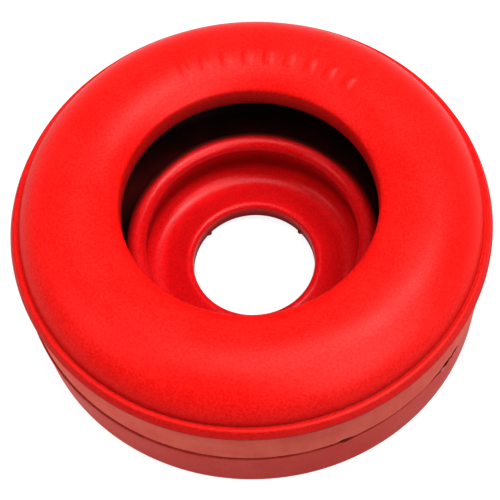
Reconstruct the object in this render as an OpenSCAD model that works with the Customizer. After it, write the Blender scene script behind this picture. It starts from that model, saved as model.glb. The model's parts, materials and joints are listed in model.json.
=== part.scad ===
// Hollow rubber coupling seal: two moulded halves cemented together at mid-wall.
// Origin at the centre of the foot, +Z up the axis. Millimetres.

/* [Outside] */
// Outer diameter over the bead
outer_d = 41; // [34:0.5:52]
// How far the bead stands out past the wall, on the radius
bead_out = 0.4; // [0.1:0.1:0.7]
// Radius of the bead's round section
bead_r = 0.6; // [0.5:0.05:1]
// Height of the lower moulding's wall, from the foot to the joint
lower_h = 5.5; // [4.5:0.1:8]
// Height from the cement film to the middle of the bead
bead_rise = 4.9; // [3.5:0.05:7]
// Height from the middle of the bead to the top of the crown
crown_rise = 4.25; // [3.5:0.05:6]
// How far each wall swells from its far end to the joint, on the radius
draft = 0.12; // [0:0.02:0.3]
// Radius of the rounded edge round the foot
foot_r = 0.4; // [0.1:0.1:1]

/* [Crown and lip] */
// Diameter of the mouth, inside the lip
mouth_d = 21.8; // [19:0.2:23]
// How far the very top of the crown stands out from the mouth, on the radius
crown_in = 3.8; // [2.6:0.1:4.6]
// Radius of the lip's upper edge, where the crown turns down into the mouth
lip_edge_r = 0.6; // [0.3:0.05:1]
// Height of the lip's lower edge above the middle of the bead
lip_rise = 0.7; // [0.4:0.05:1]
// Straight height of the lip's inner face, under its upper edge
lip_face = 1.5; // [0.6:0.05:1.8]
// Width of the lip's flat underside
lip_under = 1.2; // [0.6:0.1:2]
// Thickness of the crown at its top
crown_t = 2.35; // [1.8:0.05:3.2]

/* [Hollow] */
// Thickness of the side wall
wall_t = 3.2; // [2:0.1:4]
// Thickness of the floor under the ring-shaped hollow
floor_t = 2.4; // [1.5:0.1:3]
// Radius of the rounded corners inside the hollow
hollow_r = 1; // [0.4:0.1:1.5]

/* [Cup] */
// Diameter of the circle along the top of the cup's rim
cup_rim_d = 20.5; // [18.6:0.1:21]
// Thickness of the cup's wall at its rounded rim
cup_rim_t = 1.8; // [1:0.1:2.2]
// Height of the cup's rim above the foot
cup_h = 6.9; // [5.5:0.1:8]
// How far the cup's wall stands back under the rim, from the rim's inner edge
cup_swell = 0.5; // [0.1:0.05:0.7]
// Radius of the hollow curve from the cup's wall to the web
web_round = 1.45; // [0.6:0.05:1.6]
// Height of the web where it leaves the cup's wall
web_low = 1.5; // [1.2:0.1:2]
// Height of the web at the rim of the hole
web_high = 2.5; // [2.1:0.1:3.5]
// Diameter of the through hole
bore_d = 11; // [8:0.1:13]
// Length of the hole's straight wall
bore_wall = 1.1; // [0.8:0.1:1.4]
// Radius of the rounded rim of the hole
bore_rim_r = 0.5; // [0.1:0.05:0.6]
// Width of the hollow cone under the web, from the hole's wall out to the foot
relief_w = 2.5; // [1:0.1:3]

/* [Joint] */
// Thickness of the cured cement film between the halves
film_t = 0.15; // [0.05:0.01:0.3]
// How far the film stops short of the wall on each side
film_in = 0.2; // [0:0.05:0.5]

/* [Raised marks] */
// Number of plain raised bars on the crown
mark_count = 9; // [0:1:15]
// How far the middles of the bars stand out from the mouth, on the radius
mark_in = 2.7; // [1.6:0.1:3.6]
// Angle from the first bar to the last
mark_arc = 64; // [20:1:120]
// Where the middle bar stands, counted from +X
mark_middle = 78; // [0:1:360]
// Length of a bar, from the axis outwards
mark_l = 1.3; // [0.5:0.1:2]
// Width of a bar, as an angle
mark_w = 3; // [1:0.5:5]
// Height of a bar above the crown
mark_h = 0.12; // [0.05:0.01:0.3]

/* [Hidden] */
$fn = 180;
arc_step = 6;
bright_red = [0.90, 0.08, 0.08];
deep_red = [0.80, 0.07, 0.08];
film_brown = [0.30, 0.06, 0.05];
edge_r = 0.25;
valley_a = 110;
mark_root = 0.7;

outer_r = outer_d / 2;
wall_r = outer_r - bead_out;
joint_r = wall_r + draft;
hollow_out = wall_r - wall_t;
joint_top = lower_h + film_t;
bead_z = joint_top + bead_rise;
bead_c = [outer_r - bead_r, bead_z];
crown_z = bead_z + crown_rise;

mouth_r = mouth_d / 2;
crown_top = [mouth_r + crown_in, crown_z];
lip_z = bead_z + lip_rise;
pocket_z = crown_z - crown_t;
lip_root = mouth_r + lip_under;
round_share = 0.45;
pocket_r = min(hollow_r, round_share * 2 * (pocket_z - lip_z), round_share * (hollow_out - lip_root));

// The outer dome is one arc: level at the crown's top, and ending on the bead at the valley.
valley = bead_c + bead_r * [cos(valley_a), sin(valley_a)];
dome_run = valley[0] - crown_top[0];
dome_drop = crown_z - valley[1];
dome_r = (dome_run * dome_run + dome_drop * dome_drop) / (2 * dome_drop);
dome_c = crown_top - [0, dome_r];
valley_on_dome = atan2(valley[1] - dome_c[1], dome_run);

// The inner dome is level at the crown's top too, and runs smoothly into the lip's upper edge.
lip_c = [mouth_r + lip_edge_r, lip_z + lip_face];
to_lip = crown_top - lip_c;
inner_r = (to_lip * to_lip - lip_edge_r * lip_edge_r) / (2 * (to_lip[1] - lip_edge_r));
inner_c = crown_top - [0, inner_r];
lip_on_inner = atan2(lip_c[1] - inner_c[1], -to_lip[0]);

rim_c = [cup_rim_d / 2, cup_h - cup_rim_t / 2];
rim_r = cup_rim_t / 2;
// The cup's wall is the straight line that touches both the rim and the curve into the web.
web_c = [rim_c[0] - rim_r + cup_swell - web_round, web_low + web_round];
rim_from_web = rim_c - web_c;
wall_lean = atan2(rim_from_web[1], rim_from_web[0]) + asin((rim_r + web_round) / norm(rim_from_web)) - 90;
cup_out = rim_c[0] + rim_r;
floor_r = min(hollow_r, round_share * (hollow_out - cup_out));
bore_r = bore_d / 2;
hole_c = [bore_r + bore_rim_r, web_high - bore_rim_r];
// The web is the straight line that touches both that curve and the hole's rim.
web_from_hole = web_c - hole_c;
web_slope = asin((bore_rim_r + web_round) / norm(web_from_hole)) - atan2(web_from_hole[1], web_from_hole[0]);

// Points on an arc about c, from angle a to angle b.
function arc(c, r, a, b) =
    let (n = max(2, ceil(abs(b - a) / arc_step)))
    [for (i = [0:n]) let (t = a + (b - a) * i / n) c + r * [cos(t), sin(t)]];

// Half-section of the upper moulding: wall, bead, dome, lip, then the hollow side.
function upper_section() = concat(
    [[joint_r, joint_top]],
    arc(bead_c, bead_r, -acos((wall_r - bead_c[0]) / bead_r), valley_a),
    arc(dome_c, dome_r, valley_on_dome, 90),
    arc(inner_c, inner_r, 90, lip_on_inner),
    arc(lip_c, lip_edge_r, lip_on_inner, 180),
    arc([mouth_r + edge_r, lip_z + edge_r], edge_r, 180, 270),
    [[lip_root, lip_z]],
    arc([lip_root + pocket_r, pocket_z - pocket_r], pocket_r, 180, 90),
    arc([hollow_out - pocket_r, pocket_z - pocket_r], pocket_r, 90, 0),
    [[hollow_out, joint_top]]);

// Half-section of the lower moulding: wall, foot, hole, web, cup, then the hollow side.
function lower_section() = concat(
    [[joint_r, lower_h]],
    arc([wall_r - foot_r, foot_r], foot_r, 0, -90),
    [[bore_r + relief_w, 0], [bore_r, web_high - bore_rim_r - bore_wall]],
    arc(hole_c, bore_rim_r, 180, 90 - web_slope),
    arc(web_c, web_round, 270 - web_slope, 360 + wall_lean),
    arc(rim_c, rim_r, 180 + wall_lean, 0),
    arc([cup_out + floor_r, floor_t + floor_r], floor_r, 180, 270),
    arc([hollow_out - floor_r, floor_t + floor_r], floor_r, -90, 0),
    [[hollow_out, lower_h]]);

// Half-section of a raised bar: the crown's own outline lifted by mark_h, and rooted in the crown.
function mark_section() =
    let (
        r = mouth_r + mark_in,
        top = inner_r + mark_h,
        outer_a = acos((r + mark_l / 2 - inner_c[0]) / top),
        inner_a = acos((r - mark_l / 2 - inner_c[0]) / top),
        root = crown_z - mark_root)
    concat(
        arc(inner_c, top, outer_a, inner_a),
        [[r - mark_l / 2, root], [r + mark_l / 2, root]]);

// One raised bar, a short turn of that section.
module mark(turn) {
    rotate([0, 0, turn - mark_w / 2])
        rotate_extrude(angle = mark_w)
            polygon(mark_section());
}

module upper_moulding() {
    color(bright_red) {
        rotate_extrude()
            polygon(upper_section());
        if (mark_count > 0)
            for (i = [0:mark_count - 1])
                mark(mark_middle + mark_arc * (mark_count > 1 ? i / (mark_count - 1) - 0.5 : 0));
    }
}

module cement_film() {
    color(film_brown)
        translate([0, 0, lower_h])
            rotate_extrude()
                translate([hollow_out + film_in, 0])
                    square([wall_t - 2 * film_in, film_t]);
}

module lower_moulding() {
    color(deep_red)
        rotate_extrude()
            polygon(lower_section());
}

upper_moulding();
cement_film();
lower_moulding();
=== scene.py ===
# %% [markdown]
# # A hollow rubber coupling seal
# The seal is a short hollow ring of red rubber. An upper moulding carries the domed crown, the lip and a
# bead round the edge, and a lower moulding carries the foot and a stepped cup with a hole in it. Rubber
# cement holds the two together half-way up the wall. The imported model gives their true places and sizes,
# and this lesson builds the surfaces that a camera sees: softened corners, a joint that has opened here and
# there, and the way that moulded rubber takes light.

# %% Load the frame
import json
import bpy
import numpy as np
from mathutils import Matrix, Vector


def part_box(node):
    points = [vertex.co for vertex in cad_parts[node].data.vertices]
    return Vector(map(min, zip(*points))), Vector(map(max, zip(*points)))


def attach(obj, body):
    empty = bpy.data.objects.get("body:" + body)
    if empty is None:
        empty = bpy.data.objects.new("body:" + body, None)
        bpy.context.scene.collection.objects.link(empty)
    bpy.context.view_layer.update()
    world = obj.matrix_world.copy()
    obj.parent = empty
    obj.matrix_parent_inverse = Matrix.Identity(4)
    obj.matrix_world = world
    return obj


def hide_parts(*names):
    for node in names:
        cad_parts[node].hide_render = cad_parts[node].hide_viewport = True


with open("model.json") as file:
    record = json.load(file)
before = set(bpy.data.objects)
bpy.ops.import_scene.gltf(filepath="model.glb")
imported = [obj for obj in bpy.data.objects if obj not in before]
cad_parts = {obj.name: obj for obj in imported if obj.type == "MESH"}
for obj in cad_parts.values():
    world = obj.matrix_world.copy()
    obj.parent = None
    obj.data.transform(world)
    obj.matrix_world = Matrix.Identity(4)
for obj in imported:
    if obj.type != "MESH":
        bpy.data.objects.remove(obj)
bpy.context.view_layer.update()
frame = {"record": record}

# %% [markdown]
# ## Sizes
# Everything that two pieces share is read from the frame, so the looks can't drift from the model: the
# outer radius, the two faces of the joint, the cup's height, and the hole. What one piece has by itself,
# such as the thickness of its wall, is a named size in millimetres.

# %% Sizes read from the frame, in millimetres
MM = 0.001
upper_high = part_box("upper_moulding")[1] / MM
lower_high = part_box("lower_moulding")[1] / MM
film_low, film_high = (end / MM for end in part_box("cement_film"))
hole = next(m for m in frame["record"]["mounts"] if m["name"] == "centre_hole")

outer_r = upper_high.x
joint_r = lower_high.x
joint_low, joint_high = film_low.z, film_high.z
cup_top = lower_high.z
film_r = film_high.x
hole_r = hole["dims"]["r_mm"]
hole_wall = hole["dims"]["length_mm"]
hole_low = hole["pos_m"][2] / MM - hole_wall / 2
print(f"outer radius {outer_r:.2f}, joint from {joint_low:.2f} to {joint_high:.2f}, cup {cup_top:.2f} high")

# %% Sizes of single features, in millimetres
draft, wall_t, foot_round = 0.12, 3.2, 0.4
wall_r = joint_r - draft
hollow_r = wall_r - wall_t

bead_rise, crown_rise, crown_t = 4.9, 4.25, 2.35
bead_z = joint_high + bead_rise
crown_z = bead_z + crown_rise
roof_z = crown_z - crown_t

mouth_r, crown_in = 10.9, 3.8
crown_r = mouth_r + crown_in
lip_rise, lip_face, lip_edge, lip_under = 0.7, 1.5, 0.6, 1.2
lip_z = bead_z + lip_rise

floor_t, hollow_round = 2.4, 1.0
rim_r, rim_at, cup_swell = 0.9, 10.25, 0.5
web_low, web_high, web_round = 1.5, 2.5, 1.45
hole_rim = web_high - hole_wall - hole_low
relief_w = 2.5

# %% [markdown]
# ## A section, then a turn
# Both mouldings are bodies of revolution, so each starts as a half-section in the plane of radius and
# height. It could be drawn as a curve and given a Screw modifier, but then every later detail would need
# its own mesh. Here the section is an array of points, and the turned surface is a function of two
# parameters, the turn and the distance along the section, so a raised bar or a torn edge is only a term
# added to that function.

# %% Points along arcs and lines
def arc(centre, radius, start, stop, step=0.05):
    """Points centre + radius * (cos t, sin t), t going from start to stop degrees, about step mm apart."""
    count = max(3, int(abs(np.radians(stop - start)) * radius / step))
    t = np.radians(np.linspace(start, stop, count))
    return np.stack([centre[0] + radius * np.cos(t), centre[1] + radius * np.sin(t)], axis=1)


def walk(points, spacing):
    """A closed outline walked again in equal steps: distance along it is the sum of its edges' lengths."""
    ring = np.vstack([points, points[:1]])
    along = np.concatenate([[0], np.cumsum(np.hypot(*np.diff(ring, axis=0).T))])
    steps = np.linspace(0, along[-1], int(along[-1] / spacing), endpoint=False)
    return np.stack([np.interp(steps, along, ring[:, k]) for k in (0, 1)], axis=1)


def soften(points, width, spacing=0.02):
    """Corners rounded as a mould rounds them: every point becomes a mean over a stretch of outline width mm
    long, weighted 1 - |shift| / (reach + 1)."""
    fine = walk(points, spacing)
    reach = max(1, int(width / spacing / 2))
    shifts = np.arange(-reach, reach + 1)
    weights = 1 - np.abs(shifts) / (reach + 1)
    return sum(w * np.roll(fine, s, axis=0) for s, w in zip(shifts, weights)) / weights.sum()


def thin(points, flat_step, curved_step, bend, reach=8):
    """Fewer points where the outline is straight: the step shrinks from flat_step to curved_step mm as the
    outline turns by bend radians per mm. That turn is a mean over reach points to each side."""
    edge = np.roll(points, -1, axis=0) - points
    length = np.hypot(*edge.T)
    heading = np.unwrap(np.arctan2(edge[:, 1], edge[:, 0]))
    turn = np.abs(np.gradient(heading)) / length
    closed = np.concatenate([turn[-reach:], turn, turn[:reach]])
    count = 2 * reach + 1
    turn = np.convolve(closed, np.ones(count) / count, mode="valid")
    density = 1 / flat_step + (1 / curved_step - 1 / flat_step) * np.clip(turn / bend, 0, 1)
    weight = np.concatenate([[0], np.cumsum(density * length)])
    ring = np.vstack([points, points[:1]])
    steps = np.linspace(0, weight[-1], int(weight[-1]), endpoint=False)
    return np.stack([np.interp(steps, weight, ring[:, k]) for k in (0, 1)], axis=1)


# %% [markdown]
# ## The upper moulding's section
# The crown is two long arcs that are level where they meet, at its top. The outer one ends steeply in a
# groove, and beyond the groove stands the bead, which has a crisp upper edge, a sloping face and a round
# underside. The inner arc runs into the lip's small rounded edge. Behind the lip, the section is hollow.

# %% Section of the upper moulding
def level_arc(top, end):
    """Radius of the arc that is level at top and passes through end: (run^2 + drop^2) / (2 drop)."""
    run, drop = end[0] - top[0], top[1] - end[1]
    return (run ** 2 + drop ** 2) / (2 * drop)


def arc_into_round(top, centre, radius):
    """Radius of the arc that is level at top and touches a smaller round from outside:
    (run^2 + drop^2 - radius^2) / (2 (drop - radius)), run and drop going to the round's centre."""
    run, drop = centre[0] - top[0], top[1] - centre[1]
    return (run ** 2 + drop ** 2 - radius ** 2) / (2 * (drop - radius))


crown_top = (crown_r, crown_z)
groove = (outer_r - 0.78, bead_z + 0.53)
dome = level_arc(crown_top, groove)
dome_end = np.degrees(np.arctan2(groove[1] - crown_z + dome, groove[0] - crown_r))
lip_at = (mouth_r + lip_edge, lip_z + lip_face)
inner_dome = arc_into_round(crown_top, lip_at, lip_edge)
inner_end = np.degrees(np.arctan2(lip_at[1] - crown_z + inner_dome, lip_at[0] - crown_r))

under_at, under_r, under_start = (outer_r - 0.4, bead_z - 0.2), 0.4, -70
edge_at, edge_r, edge_stop = (outer_r - 0.5, bead_z + 0.38), 0.25, 140
gap = np.subtract(edge_at, under_at)
face_turn = np.degrees(np.arcsin((under_r - edge_r) / np.hypot(*gap)) + np.arctan2(-gap[0], gap[1]))

upper_outline = np.vstack([
    [(joint_r, joint_high)],
    arc(under_at, under_r, under_start, face_turn),
    arc(edge_at, edge_r, face_turn, edge_stop),
    arc((crown_r, crown_z - dome), dome, dome_end, 90),
    arc((crown_r, crown_z - inner_dome), inner_dome, 90, inner_end),
    arc(lip_at, lip_edge, inner_end, 180),
    [(mouth_r, lip_z), (mouth_r + lip_under, lip_z)],
    arc((mouth_r + lip_under + hollow_round, roof_z - hollow_round), hollow_round, 180, 90),
    arc((hollow_r - hollow_round, roof_z - hollow_round), hollow_round, 90, 0),
    [(hollow_r, joint_high)],
])
upper_section = thin(soften(upper_outline, width=0.08), flat_step=0.52, curved_step=0.083, bend=1.0)
print("upper section:", len(upper_section), "points; the dome's radii are", np.round([inner_dome, dome], 2))

# %% [markdown]
# ## The lower moulding's section
# The cup stands up from the floor of the ring-shaped hollow, with a round rim that is easy to see through
# the mouth. Its wall stands back under the rim, and sweeps in a hollow curve into the web, which rises
# again as a shallow cone to the hole's rounded edge. Each straight line touches the rounds at both its
# ends.

# %% Section of the lower moulding
def crossing_line(near, near_r, far, far_r):
    """Turn of a line that touches two rounds on opposite sides, from near to far: the direction between their
    centres less asin((near_r + far_r) / distance)."""
    run, rise = far[0] - near[0], far[1] - near[1]
    return np.degrees(np.arctan2(rise, run) - np.arcsin((near_r + far_r) / np.hypot(run, rise)))


hole_at = (hole_r + hole_rim, web_high - hole_rim)
web_at = (rim_at - rim_r + cup_swell - web_round, web_low + web_round)
rim_centre = (rim_at, cup_top - rim_r)
web_fall = -crossing_line(hole_at, hole_rim, web_at, web_round)
toward_rim = np.subtract(rim_centre, web_at)
cup_lean = np.degrees(np.arctan2(toward_rim[1], toward_rim[0])
                      + np.arcsin((rim_r + web_round) / np.hypot(*toward_rim))) - 90

lower_outline = np.vstack([
    [(joint_r, joint_low)],
    arc((wall_r - foot_round, foot_round), foot_round, 0, -90),
    [(hole_r + relief_w, 0), (hole_r, hole_low)],
    arc(hole_at, hole_rim, 180, 90 - web_fall),
    arc(web_at, web_round, 270 - web_fall, 360 + cup_lean),
    arc(rim_centre, rim_r, 180 + cup_lean, 0),
    arc((rim_at + rim_r + hollow_round, floor_t + hollow_round), hollow_round, 180, 270),
    arc((hollow_r - hollow_round, floor_t + hollow_round), hollow_round, -90, 0),
    [(hollow_r, joint_low)],
])
lower_section = thin(soften(lower_outline, width=0.14), flat_step=0.55, curved_step=0.112, bend=1.2)
print(f"lower section: {len(lower_section)} points; the cup's wall leans {float(cup_lean):.1f} degrees")

# %% [markdown]
# ## Turning a section into a mesh
# The grid has one row for each turn and one column for each section point, and it closes on itself both
# ways like a tyre, so the mesh has no pole and no open edge. Its UV map holds the turn and the way along
# the section.

# %% The turned mesh
TURNS = 600
turn = np.linspace(0, 2 * np.pi, TURNS, endpoint=False)[:, None]


def section_normals(section):
    """Outward normal of each section point: the direction to the next point less that from the last, turned
    a quarter to the right."""
    ahead = np.roll(section, -1, axis=0) - np.roll(section, 1, axis=0)
    ahead /= np.hypot(*ahead.T)[:, None]
    return np.stack([ahead[:, 1], -ahead[:, 0]], axis=1)


def turned(name, radius, height):
    """Closed mesh with vertices (radius cos turn, radius sin turn, height), from arrays in mm with one row
    for each turn and one column for each section point."""
    rows, columns = radius.shape
    spots = np.stack([radius * np.cos(turn), radius * np.sin(turn), height], axis=-1).reshape(-1, 3) * MM
    i, j = np.meshgrid(np.arange(rows), np.arange(columns), indexing="ij")
    i2, j2 = (i + 1) % rows, (j + 1) % columns
    quads = np.stack([i * columns + j, i2 * columns + j, i2 * columns + j2, i * columns + j2], axis=-1)
    mesh = bpy.data.meshes.new(name)
    mesh.from_pydata(spots.tolist(), [], quads.reshape(-1, 4).tolist())
    u = np.stack([i, i + 1, i + 1, i], axis=-1) / rows
    v = np.stack([j, j, j + 1, j + 1], axis=-1) / columns
    mesh.uv_layers.new(name="UVMap").uv.foreach_set("vector", np.stack([u, v], axis=-1).ravel())
    mesh.shade_smooth()
    piece = bpy.data.objects.new(name, mesh)
    bpy.context.scene.collection.objects.link(piece)
    a, b, c = spots[quads[..., 0].ravel()], spots[quads[..., 1].ravel()], spots[quads[..., 2].ravel()]
    outward = np.einsum("ij,ij->", np.cross(a, b), c)
    if outward < 0:
        mesh.flip_normals()
    print(f"{name}: {rows} x {columns} grid, {2 * rows * columns} triangles")
    return piece


# %% [markdown]
# ## Masks
# Where a moulding is pale with dust and painted reflection, darkened with painted shade, or torn is known
# from the same arrays that shape it, as one number at each vertex, with 0 for clean, unshaded rubber. It is
# stored on the mesh under a name that the materials read further down.

# %% Falloffs, and a mask on a mesh
def ramp(depth, width):
    """depth / width kept between 0 and 1, so it is 0 where depth is negative and 1 beyond width."""
    return np.clip(depth / width, 0, 1)


def fade(distance, reach):
    """Smooth falloff (1 - (distance / reach)^2)^2 inside reach, and 0 beyond it."""
    return np.clip(1 - (distance / reach) ** 2, 0, 1) ** 2


def paint_mask(piece, name, values):
    """Store one number per vertex under a name that a material can read."""
    layer = piece.data.attributes.new(name, "FLOAT", "POINT")
    layer.data.foreach_set("value", np.ascontiguousarray(values, dtype=np.float32).ravel())
    print(f"{piece.name}: {name} covers {100 * float(np.mean(values)):.0f}% of its vertices")


# %% [markdown]
# ## Small faults that make it a real moulding
# Where the cement has let go, the joint gapes and its edges are torn. The ragged edge is a sum of sine
# waves round the turn, seeded so that every run gives the same one, and windows say where it may show. Each
# opening has a height, a place and a width round the turn, and a raggedness of its own, and a slower wave
# runs between them, because a joint made by hand is never quite even.

# %% Ragged edges round the turn
def ragged(seed, waves, low, high):
    """Sum of sines sin(k turn + p) / sqrt(waves), with whole k from low to high and random phases p."""
    dice = np.random.default_rng(seed)
    k = dice.integers(low, high, waves)
    phase = dice.uniform(0, 2 * np.pi, waves)
    return (np.sin(turn * k + phase).sum(axis=1, keepdims=True)) / np.sqrt(waves)


def window(middle, half_width, soft=2.0):
    """1 within half_width degrees of middle, falling to 0 over soft degrees, all the way round the turn."""
    off = np.abs((np.degrees(turn) - middle + 180) % 360 - 180)
    return ramp(half_width + soft - off, soft)


def opening(height, middle, half_width, soft, roughness, seed, finest):
    """Gap in mm round the turn: height * window * (1 + roughness * ragged), its waves going up to finest."""
    return height * window(middle, half_width, soft) * (1 + roughness * ragged(seed, 9, 40, finest))


openings = [
    opening(0.13, 286, 0.8, 2.0, 0.5, seed=3, finest=120),
    opening(0.06, 290.5, 2, 2.0, 0.5, seed=6, finest=120),
    opening(0.20, 315.5, 1.2, 2.0, 0.35, seed=4, finest=170),
    opening(0.36, 318.7, 0.7, 1.2, 0.3, seed=9, finest=170),
    opening(0.22, 320.7, 1.4, 1.2, 0.35, seed=10, finest=170),
    opening(0.38, 322.8, 0.5, 1.2, 0.3, seed=14, finest=170),
]
even_gap, uneven_gap, tightest, widest = 0.01, 0.025, -0.03, 0.45
gape = sum(openings) + even_gap + uneven_gap * ragged(5, 12, 5, 60)
gape = np.clip(gape, tightest, widest)
print("the joint gapes by up to", round(float(gape.max()), 2), "mm on each side")

# %% [markdown]
# ## The upper moulding
# A row of plain bars stands on the crown, where a mould maker cuts marks. Each is a low pad: the surface is
# lifted along its normal wherever a point is within half a bar's width and length of the bar's middle.

# %% Raised bars as a height over the crown
bar_count, bar_arc, bar_middle = 9, 64.0, 78.0
bar_length, bar_width, bar_edge = 1.3, 0.7, 0.2
bar_height, bar_r = 0.12, mouth_r + 2.7
crown_skin = crown_z - 1.5


def smooth_step(inside):
    """Smooth step of width bar_edge: 0 outside the pad, 1 inside, with level ends."""
    t = np.clip(inside / bar_edge + 0.5, 0, 1)
    return t * t * (3 - 2 * t)


def bars(radius, height):
    """Height of the bars in mm: the product of a step across each bar and a step along it."""
    pitch = bar_arc / (bar_count - 1)
    place = (np.degrees(turn) - bar_middle + bar_arc / 2) / pitch
    nearest = np.clip(np.round(place), 0, bar_count - 1)
    across = np.abs(np.radians((place - nearest) * pitch)) * radius
    along = np.abs(radius - bar_r)
    on_top = height > crown_skin
    return bar_height * smooth_step(bar_width / 2 - across) * smooth_step(bar_length / 2 - along) * on_top


# %% The upper moulding's shape
wall_edge, joint_band, joint_soft = 0.1, 0.07, 0.05
upper_reach = 0.7

normal = section_normals(upper_section)
radius = upper_section[:, 0] + 0 * turn
height = upper_section[:, 1] + 0 * turn
lift = bars(radius, height)
radius = radius + lift * normal[:, 0]
height = height + lift * normal[:, 1]
on_wall = ramp(radius - film_r, wall_edge)
in_joint = ramp(joint_high + joint_band - height, joint_soft)
height = height + gape * fade(height - joint_high, upper_reach) * on_wall
upper = turned("upper_rubber", radius, height)

# %% [markdown]
# Dust, with a painted reflection of the white table, makes the wall pale as far up as the bead. Painted
# shade fills the hollow, the lower part of the lip's face, and the groove along the front, where a thin dark
# line lies in a wider, fainter shade. The joint is dark, and painted shade deepens it where it gapes. A
# trace of painted shade lies on the bead and along the lip's upper edge too.

# %% The upper moulding's masks
# Dust, and a painted reflection of the white table: the wall under the bead is made pale.
pale_top, pale_soft = bead_z - 0.45, 0.35
dust_and_reflection = on_wall * ramp(pale_top - height, pale_soft)
paint_mask(upper, "dust_and_reflection", dust_and_reflection)
upper_wall = dust_and_reflection > 0.5

# Painted shade: the hollow behind the lip and the lower part of the lip's face are darkened, as little light
# reaches them.
hollow_from, hollow_to, hollow_top = mouth_r + 0.2, hollow_r + 0.05, roof_z + 0.1
shade_behind_lip = (radius > hollow_from) * (radius < hollow_to) * (height < hollow_top)
face_to, face_shade_strength = mouth_r + 0.25, 0.6
lip_face_shade = face_shade_strength * ramp(lip_at[1] - height, lip_face) * (radius < face_to)

# Painted shade along the groove on the front side: a thin dark line inside a wider, fainter shade.
front_share, groove_to = 0.15, groove[0] + 0.05
line_shade, line_reach = 0.5, 0.22
wide_shade, shade_reach = 0.22, 1.0
in_front = np.clip(front_share - np.sin(turn), 0, 1)
from_groove = np.hypot(radius - groove[0], height - groove[1])
groove_line = line_shade * fade(from_groove, line_reach)
groove_shade = wide_shade * fade(from_groove, shade_reach) * (radius < groove_to)
in_groove = in_front * (groove_line + groove_shade)

# Painted shade over the lip's fold, and a painted shade that dims the lit top of the bead.
fold_in, fold_up, fold_reach, fold_shade = 0.55, 0.2, 0.3, 0.18
from_fold = np.hypot(radius - lip_at[0] + fold_in, height - lip_at[1] - fold_up)
at_lip = fold_shade * fade(from_fold, fold_reach)
bead_from, bead_under, bead_soft, bead_shade = groove[0] + 0.12, 0.8, 0.4, 0.15
on_bead = bead_shade * (radius > bead_from) * ramp(height - bead_z + bead_under, bead_soft)

# A dark joint, with painted shade that deepens where the joint gapes; all of this goes into the painted-shade
# mask.
joint_dark_and_shade = 0.4 + 1.5 * gape
inner_shade = np.maximum(shade_behind_lip, lip_face_shade)
paint_mask(upper, "painted_shade", inner_shade + at_lip + in_groove + on_bead + joint_dark_and_shade * in_joint)

# %% [markdown]
# ## The lower moulding
# It is a little out of line with the upper one, so its joint edge stands proud on one side. The hole keeps
# two shreds of moulding flash on its lower edge.

# %% The lower moulding's shape
offset, offset_toward, offset_reach = 0.14, 207, 4
lower_reach, tear_roughness = 0.6, 0.4
shred_size, shred_reach, hole_zone = 0.16, 0.35, hole_r + 0.3

height = lower_section[:, 1] + 0 * turn
radius = lower_section[:, 0] + 0 * turn
on_wall = ramp(radius - film_r, wall_edge)
sideways = np.cos(turn - np.radians(offset_toward))
radius = radius + on_wall * offset * sideways * fade(joint_low - height, offset_reach)
in_joint = ramp(height - joint_low + joint_band, joint_soft) * (radius > film_r - 1)
torn = gape * (1 + tear_roughness * ragged(8, 9, 60, 160))
height = height - torn * fade(joint_low - height, lower_reach) * on_wall
shreds = window(134.5, 1.2, 1.5) + window(36, 1.2, 1.5)
radius = radius - shred_size * shreds * fade(height - hole_low, shred_reach) * (radius < hole_zone)
lower = turned("lower_rubber", radius, height)

# %% [markdown]
# The lower wall carries only half as much of the pale film of dust and painted reflection as the upper one,
# and the tear shows a pale scrap of fresh rubber. Painted shadow fills the ring-shaped hollow round the cup,
# more so on the far side, and painted shade darkens the wall under the cup's rim, the inside of the hole,
# the edge of the foot and the joint.

# %% The lower moulding's masks
# Dust, and a painted reflection of the white table, on the lower wall.
wall_film, wall_patches = 0.46, 0.08
paint_mask(lower, "dust_and_reflection", on_wall * (wall_film + wall_patches * ragged(13, 9, 2, 12)))
lower_wall = on_wall > 0.5

scrap_depth, scrap_reach, scrap_cover = 0.35, 0.5, 0.6
at_scrap = window(317.3, 0.8, 0.8) * fade(height - joint_low + scrap_depth, scrap_reach)
paint_mask(lower, "torn", at_scrap * on_wall * np.clip(scrap_cover + ragged(12, 9, 60, 190), 0, 1))

# Painted shadow: the lip shades the ring-shaped hollow round the cup, more on the far side, where it reaches
# further in over the rim.
near_share, far_share, far_gain = 0.2, 0.8, 1.5
moat_inset, moat_widens, moat_soft, moat_low = 0.2, 0.35, 0.4, floor_t - 0.2
far_side = near_share + far_share * np.clip(np.sin(turn) * far_gain, 0, 1)
moat_from = rim_at + moat_inset - moat_widens * far_side
moat = ramp(radius - moat_from, moat_soft) * (radius < hollow_to) * (height > moat_low)
moat = moat * np.where(height > cup_top - rim_r, far_side, 1)

# Painted shade under the cup's rim, inside the hole and at the edge of the foot.
rim_wall_shade, rim_shade_z, rim_shade_reach = 0.45, 4.0, 1.9
under_rim = rim_wall_shade * fade(height - rim_shade_z, rim_shade_reach) * (radius > web_at[0]) * (radius < rim_at)
hole_shade, hole_soft = 0.7, 0.4
in_hole = hole_shade * ramp(hole_at[1] - height, hole_soft) * (radius < hole_zone)
foot_shade, foot_height, foot_soft = 0.35, 0.45, 0.3
at_foot = foot_shade * on_wall * ramp(foot_height - height, foot_soft)
paint_mask(lower, "painted_shade", moat + under_rim + in_hole + at_foot + joint_dark_and_shade * in_joint)

# %% [markdown]
# ## The cement film
# The film is a thin washer that stops short of the wall, so only its dark edge shows in the joint. That
# edge is uneven, as cement is when it is squeezed out between two faces.

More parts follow.
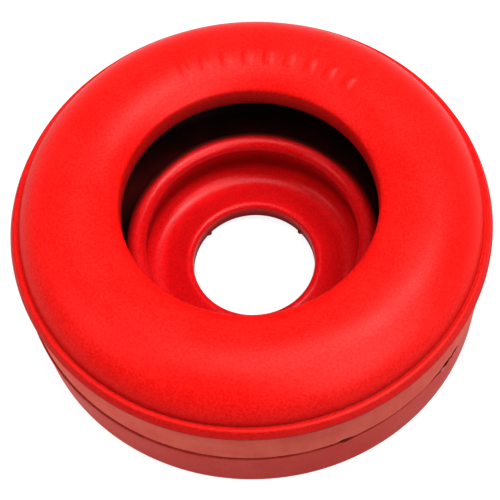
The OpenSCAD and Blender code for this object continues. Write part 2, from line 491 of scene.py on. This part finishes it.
# %% The cement film
film_in, film_step, squeeze_depth, edge_zone = 0.2, 0.15, 0.1, 0.3
film_outline = np.array([(hollow_r + film_in, joint_low), (film_r, joint_low), (film_r, joint_high),
                         (hollow_r + film_in, joint_high)])
film_section = walk(film_outline, film_step)
squeeze = squeeze_depth * (0.5 + 0.5 * ragged(11, 12, 8, 90))
radius = film_section[:, 0] - squeeze * (film_section[:, 0] > film_r - edge_zone)
film = turned("cement", radius, film_section[:, 1] + 0 * turn)

# %% [markdown]
# ## Rubber grain
# One node group gives every rubber surface its fine grain: a small cloudy noise for the mould's blasted
# finish, and a slower one for the mottling of the pigment. It reads Object coordinates, so the grain has
# the same size everywhere.

# %% Shader helpers
def group_sockets(group, inputs, outputs):
    """Named number inputs with their first values, and named number outputs."""
    for name, value in inputs:
        group.interface.new_socket(name, in_out="INPUT", socket_type="NodeSocketFloat").default_value = value
    for name in outputs:
        group.interface.new_socket(name, in_out="OUTPUT", socket_type="NodeSocketFloat")


def noise(tree, coordinates, scale, detail, roughness):
    """A noise texture on the given coordinates."""
    node = tree.nodes.new("ShaderNodeTexNoise")
    node.inputs["Scale"].default_value = scale
    node.inputs["Detail"].default_value = detail
    node.inputs["Roughness"].default_value = roughness
    tree.links.new(coordinates, node.inputs["Vector"])
    return node


def feed(tree, socket, value):
    """Link a socket to an input, or write a plain number into it."""
    if isinstance(value, bpy.types.NodeSocket):
        tree.links.new(value, socket)
    else:
        socket.default_value = value


def math_node(tree, operation, first, second):
    """Output of one sum, product and so on; each term is a number or a socket."""
    node = tree.nodes.new("ShaderNodeMath")
    node.operation = operation
    for socket, value in zip(node.inputs, (first, second)):
        feed(tree, socket, value)
    return node.outputs[0]


def map_range(tree, value, low, high, to_low, to_high):
    """A socket's value carried from the range low to high over to the range to_low to to_high."""
    node = tree.nodes.new("ShaderNodeMapRange")
    for name, number in [("From Min", low), ("From Max", high), ("To Min", to_low), ("To Max", to_high)]:
        node.inputs[name].default_value = number
    tree.links.new(value, node.inputs["Value"])
    return node.outputs[0]


# %% The grain group
fine_share, slow_share = 0.8, 0.2
per_metre = 1 / MM

grain = bpy.data.node_groups.new("rubber grain", "ShaderNodeTree")
group_sockets(grain, [("Grain size mm", 0.25), ("Mottle size mm", 3.0)], ["Height", "Fleck", "Mottle"])
inside = grain.nodes.new("NodeGroupInput")
out = grain.nodes.new("NodeGroupOutput")
place = grain.nodes.new("ShaderNodeTexCoord").outputs["Object"]
fine = noise(grain, place, scale=1, detail=3, roughness=0.55)
slow = noise(grain, place, scale=1, detail=4, roughness=0.6)
grain.links.new(math_node(grain, "DIVIDE", per_metre, inside.outputs["Grain size mm"]), fine.inputs["Scale"])
grain.links.new(math_node(grain, "DIVIDE", per_metre, inside.outputs["Mottle size mm"]), slow.inputs["Scale"])
mostly_fine = math_node(grain, "MULTIPLY", fine.outputs[0], fine_share)
partly_slow = math_node(grain, "MULTIPLY", slow.outputs[0], slow_share)
grain.links.new(fine.outputs[0], out.inputs["Height"])
grain.links.new(math_node(grain, "ADD", mostly_fine, partly_slow), out.inputs["Fleck"])
grain.links.new(slow.outputs[0], out.inputs["Mottle"])
print("grain group sockets:", [s.name for s in grain.interface.items_tree])

# %% [markdown]
# ## Dust and painted reflection on the wall
# Handled rubber grows a pale, matt film where nothing rubs it clean; on the side wall under the bead the
# same pale film also stands for the white table's reflection. The group takes the painted mask and thins it
# in streaks and patches, as fingers and shelves do. The streaks are noise that is stretched along the
# height, so they run up and down.

# %% The group for dust and painted reflection
# The film made here is dust and a painted reflection of the white table at once.
streak_stretch, streak_scale, streak_share = 0.2, 900, 0.5
rub_low, rub_high = 0.6, 0.9

dust_and_reflection_group = bpy.data.node_groups.new("wall dust", "ShaderNodeTree")
group_sockets(dust_and_reflection_group, [("Mask", 0.0), ("Patch size mm", 4.0), ("Rubbed", 0.5)], ["Amount"])
inside = dust_and_reflection_group.nodes.new("NodeGroupInput")
out = dust_and_reflection_group.nodes.new("NodeGroupOutput")
place = dust_and_reflection_group.nodes.new("ShaderNodeTexCoord").outputs["Object"]
patches = noise(dust_and_reflection_group, place, scale=1, detail=5, roughness=0.65)
dust_and_reflection_group.links.new(math_node(dust_and_reflection_group, "DIVIDE", per_metre, inside.outputs["Patch size mm"]), patches.inputs["Scale"])
stretch = dust_and_reflection_group.nodes.new("ShaderNodeMapping")
stretch.inputs["Scale"].default_value = (1, 1, streak_stretch)
dust_and_reflection_group.links.new(place, stretch.inputs["Vector"])
streaks = noise(dust_and_reflection_group, stretch.outputs[0], scale=streak_scale, detail=3, roughness=0.7)
faint_streaks = math_node(dust_and_reflection_group, "MULTIPLY", streaks.outputs[0], streak_share)
both = math_node(dust_and_reflection_group, "ADD", patches.outputs[0], faint_streaks)
rubs = map_range(dust_and_reflection_group, both, rub_low, rub_high, 0, 1)
kept = math_node(dust_and_reflection_group, "SUBTRACT", 1.0, math_node(dust_and_reflection_group, "MULTIPLY", rubs, inside.outputs["Rubbed"]))
dust_and_reflection_group.links.new(math_node(dust_and_reflection_group, "MULTIPLY", kept, inside.outputs["Mask"]), out.inputs["Amount"])
print("dust group sockets:", [s.name for s in dust_and_reflection_group.interface.items_tree])

# %% [markdown]
# ## Red rubber
# The rubber is a satin dielectric with much less shine than plastic. Its red is strong and nearly pure,
# with a slightly deeper shade where the pigment gathers. A pale film of dust and painted reflection of the
# white table covers the colour and takes the gloss away, and painted shade darkens it. The side wall has
# the same reds as the crown and the cup but almost no shine, and its painted pale colour stands for the
# table's reflection. How much light a surface mirrors is one number for a whole material, so the wall is a
# second material on the same mesh and not another mask.

# %% Materials
# A pale colour for dust and painted reflection of the white table, a pale colour for torn rubber, and a
# near-black colour for painted shade.
dust_and_reflection_colour = (0.73, 0.215, 0.17)
torn_colour = (0.80, 0.42, 0.33)
shade_colour = (0.05, 0.006, 0.005)
pale_cover, pale_matt, shade_matt = 0.85, 0.3, 0.4
fleck_low, fleck_high = 0.4, 0.6
mottle_low, mottle_high, shade_patch_low = 0.3, 0.7, 0.85
grain_size, mottle_size, patch_size, rubbed = 0.2, 3.5, 3.0, 0.25
dent_depth = 0.02


def put(tree, group, **values):
    """A group placed in a material, with its own values for the named inputs."""
    node = tree.nodes.new("ShaderNodeGroup")
    node.node_tree = group
    for name, value in values.items():
        node.inputs[name.replace("_", " ")].default_value = value
    return node


def painted(tree, name):
    """The number that paint_mask stored under name."""
    node = tree.nodes.new("ShaderNodeAttribute")
    node.attribute_name = name
    return node.outputs["Fac"]


def blend_colours(tree, factor, first, second):
    """Colour that goes from first to second as factor goes from 0 to 1; each is a colour or a socket."""
    node = tree.nodes.new("ShaderNodeMix")
    node.data_type = "RGBA"
    tree.links.new(factor, node.inputs["Factor"])
    for name, colour in (("A", first), ("B", second)):
        feed(tree, node.inputs[name], (*colour, 1) if isinstance(colour, tuple) else colour)
    return node.outputs["Result"]


def rubber(name, light, deep, gloss, shine, bump):
    """Principled rubber: colour and roughness follow the mottle and the masks, and bump follows the grain."""
    material = bpy.data.materials.new(name)
    material.use_nodes = True
    tree = material.node_tree
    surface = tree.nodes["Principled BSDF"]
    skin = put(tree, grain, Grain_size_mm=grain_size, Mottle_size_mm=mottle_size)
    pale_film_node = put(tree, dust_and_reflection_group, Patch_size_mm=patch_size, Rubbed=rubbed)
    tree.links.new(painted(tree, "dust_and_reflection"), pale_film_node.inputs["Mask"])
    amount = pale_film_node.outputs["Amount"]
    painted_shade = painted(tree, "painted_shade")

    pale_flecks = map_range(tree, skin.outputs["Fleck"], fleck_low, fleck_high, 0, 1)
    red = blend_colours(tree, pale_flecks, deep, light)
    # Dust and painted reflection: the colour goes pale on the side wall.
    outside = blend_colours(tree, math_node(tree, "MULTIPLY", amount, pale_cover), red, dust_and_reflection_colour)
    outside = blend_colours(tree, painted(tree, "torn"), outside, torn_colour)
    # Painted shade: the colour goes towards near-black where the painted-shade mask is set, and the surface
    # grows rougher there.
    patchy = map_range(tree, skin.outputs["Mottle"], mottle_low, mottle_high, shade_patch_low, 1)
    shade_amount = math_node(tree, "MULTIPLY", painted_shade, patchy)
    tree.links.new(blend_colours(tree, shade_amount, outside, shade_colour), surface.inputs["Base Color"])

    satin = map_range(tree, skin.outputs["Mottle"], mottle_low, mottle_high, *gloss)
    matt = math_node(tree, "MULTIPLY", amount, pale_matt)
    dull = math_node(tree, "ADD", matt, math_node(tree, "MULTIPLY", painted_shade, shade_matt))
    tree.links.new(math_node(tree, "ADD", satin, dull), surface.inputs["Roughness"])

    dents = tree.nodes.new("ShaderNodeBump")
    dents.inputs["Strength"].default_value = bump
    dents.inputs["Distance"].default_value = dent_depth * MM
    tree.links.new(skin.outputs["Height"], dents.inputs["Height"])
    tree.links.new(dents.outputs[0], surface.inputs["Normal"])
    surface.inputs["Specular IOR Level"].default_value = shine
    print(f"{name}: roughness from {gloss[0]} to {gloss[1]}, shine {shine}, bump {bump}")
    return material


crown_reds = {"light": (0.60, 0.019, 0.015), "deep": (0.52, 0.009, 0.007), "gloss": (0.34, 0.44)}
cup_reds = {"light": (0.53, 0.012, 0.015), "deep": (0.43, 0.008, 0.011), "gloss": (0.24, 0.34)}
browns = {"light": (0.09, 0.010, 0.007), "deep": (0.04, 0.005, 0.004), "gloss": (0.6, 0.8)}
crown_red = rubber("crown rubber", **crown_reds, shine=0.12, bump=0.55)
cup_red = rubber("cup rubber", **cup_reds, shine=0.16, bump=0.5)
cement_brown = rubber("cured cement", **browns, shine=0.3, bump=0.8)
# The side walls keep almost no shine, and their pale painted colour stands for the table's reflection.
upper_side = rubber("upper wall rubber", **crown_reds, shine=0.02, bump=0.75)
lower_side = rubber("lower wall rubber", **cup_reds, shine=0.02, bump=0.5)

# %% Each piece gets its materials and its body, and the imported part it stands for is hidden
def finish(piece, first, second, where):
    """Two materials on one piece: the faces of the grid where the mask is true take the second."""
    piece.data.materials.append(first)
    piece.data.materials.append(second)
    piece.data.polygons.foreach_set("material_index", where.astype(np.int32).ravel())


finish(upper, crown_red, upper_side, upper_wall)
finish(lower, cup_red, lower_side, lower_wall)
film.data.materials.append(cement_brown)
for piece, node, slot in [
    (upper, "upper_moulding", "crown_rubber"),
    (lower, "lower_moulding", "cup_rubber"),
    (film, "cement_film", "cement"),
]:
    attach(piece, "root")
    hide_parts(node)
print("faces of side wall:", int(upper_wall.sum()), "above the joint and", int(lower_wall.sum()), "below it")

# %% [markdown]
# ## Floor and light
# A white table that glows a little lights the wall evenly from below. A big soft lamp overhead gives the
# bright top, and a lamp on each side rounds the form. The fourth lamp shows only in reflections: it gives the
# long soft highlight along the front of the crown, and adds nothing to the colour of the rubber. The room is
# dim, though lighter at the back, and only the camera sees it as pale.

# %% Floor
floor_spread, floor_grey, floor_glow = 60, 0.15, 0.6
edge = floor_spread * outer_r * MM / 2
corners = [(-edge, -edge, 0), (edge, -edge, 0), (edge, edge, 0), (-edge, edge, 0)]
floor_mesh = bpy.data.meshes.new("floor")
floor_mesh.from_pydata(corners, [], [(0, 1, 2, 3)])
floor = bpy.data.objects.new("floor", floor_mesh)
bpy.context.scene.collection.objects.link(floor)
floor_white = bpy.data.materials.new("lit white table")
floor_white.use_nodes = True
table_surface = floor_white.node_tree.nodes["Principled BSDF"]
table_surface.inputs["Base Color"].default_value = (floor_grey, floor_grey, floor_grey, 1)
table_surface.inputs["Roughness"].default_value = 0.8
table_surface.inputs["Specular IOR Level"].default_value = 0.1
table_surface.inputs["Emission Color"].default_value = (1, 1, 1, 1)
table_surface.inputs["Emission Strength"].default_value = floor_glow
floor_mesh.materials.append(floor_white)
print("the floor is", round(2 * edge, 2), "m wide")

# %% Lights
middle = Vector((0, 0, bead_z * MM))


def lamp(name, direction, size, radiance, distance=10):
    """A square area light seen in the given direction, distance and size in outer radii. Its power is
    radiance * area * pi, so a change of size keeps it as bright to look at."""
    light = bpy.data.lights.new(name, "AREA")
    side = size * outer_r * MM
    light.size = side
    light.energy = radiance * side * side * np.pi
    holder = bpy.data.objects.new(name, light)
    toward = Vector(direction).normalized()
    holder.location = toward * distance * outer_r * MM + middle
    holder.rotation_euler = toward.to_track_quat("Z", "Y").to_euler()
    bpy.context.scene.collection.objects.link(holder)
    print(f"{name}: {light.energy:.2f} W")
    return holder


lamp("overhead", (0.12, -0.12, 1), size=8, radiance=5.0)
lamp("right", (0.85, 0.05, 1.5), size=4, radiance=10.5)
lamp("left", (-1, -0.25, 0.8), size=6, radiance=2.8)
sheen = lamp("front sheen", (0.55, -0.62, 0.55), size=8, radiance=5.5)
sheen.visible_diffuse = False

# %% The room
front_light, back_light, back_from, back_to = 0.03, 0.5, 0.0, 0.9
pale_room = 0.9

world = bpy.data.worlds.new("dim room")
world.use_nodes = True
room = world.node_tree
looking = room.nodes.new("ShaderNodeTexCoord").outputs["Generated"]
apart = room.nodes.new("ShaderNodeSeparateXYZ")
room.links.new(looking, apart.inputs[0])
back = map_range(room, apart.outputs["Y"], back_from, back_to, front_light, back_light)
back.node.interpolation_type = "SMOOTHSTEP"
seen = room.nodes.new("ShaderNodeLightPath").outputs["Is Camera Ray"]
pale = room.nodes.new("ShaderNodeMix")
pale.inputs["B"].default_value = pale_room
room.links.new(seen, pale.inputs["Factor"])
room.links.new(back, pale.inputs["A"])
room.links.new(pale.outputs["Result"], room.nodes["Background"].inputs["Strength"])
room.nodes["Background"].inputs["Color"].default_value = (1, 1, 1, 1)
bpy.context.scene.world = world
bpy.context.scene.view_settings.view_transform = "Standard"
bpy.context.scene.view_settings.look = "High Contrast"
print("the room's light goes from", front_light, "in front to", back_light, "behind")

# %% [markdown]
# ## Camera
# The camera looks down at sixty degrees from close by, and leans a little to one side. Its distance and its
# aim are counted in outer radii, from the middle of the ring at the height of the bead.

# %% Camera
elevation, roll = np.radians(60.53), np.radians(-5.07)
away, aim_down = 5.5, -0.155
focal, sensor = 2.65, 36

forward = np.array([0, np.cos(elevation), -np.sin(elevation)])
right = np.array([1.0, 0, 0])
down = np.array([0, -np.sin(elevation), -np.cos(elevation)])
right, down = np.cos(roll) * right - np.sin(roll) * down, np.sin(roll) * right + np.cos(roll) * down
spot = -aim_down * down - away * forward
camera_data = bpy.data.cameras.new("camera")
camera_data.sensor_width = sensor
camera_data.lens = sensor * focal
camera_data.clip_start = 0.001
camera = bpy.data.objects.new("camera", camera_data)
facing = Matrix([[right[k], -down[k], -forward[k]] for k in range(3)]).to_4x4()
camera.matrix_world = Matrix.Translation(Vector(spot) * outer_r * MM + middle) @ facing
bpy.context.scene.collection.objects.link(camera)
bpy.context.scene.camera = camera
print("the camera stands", round(float(away * outer_r), 1), "mm away")

# %% The end
bpy.context.view_layer.update()
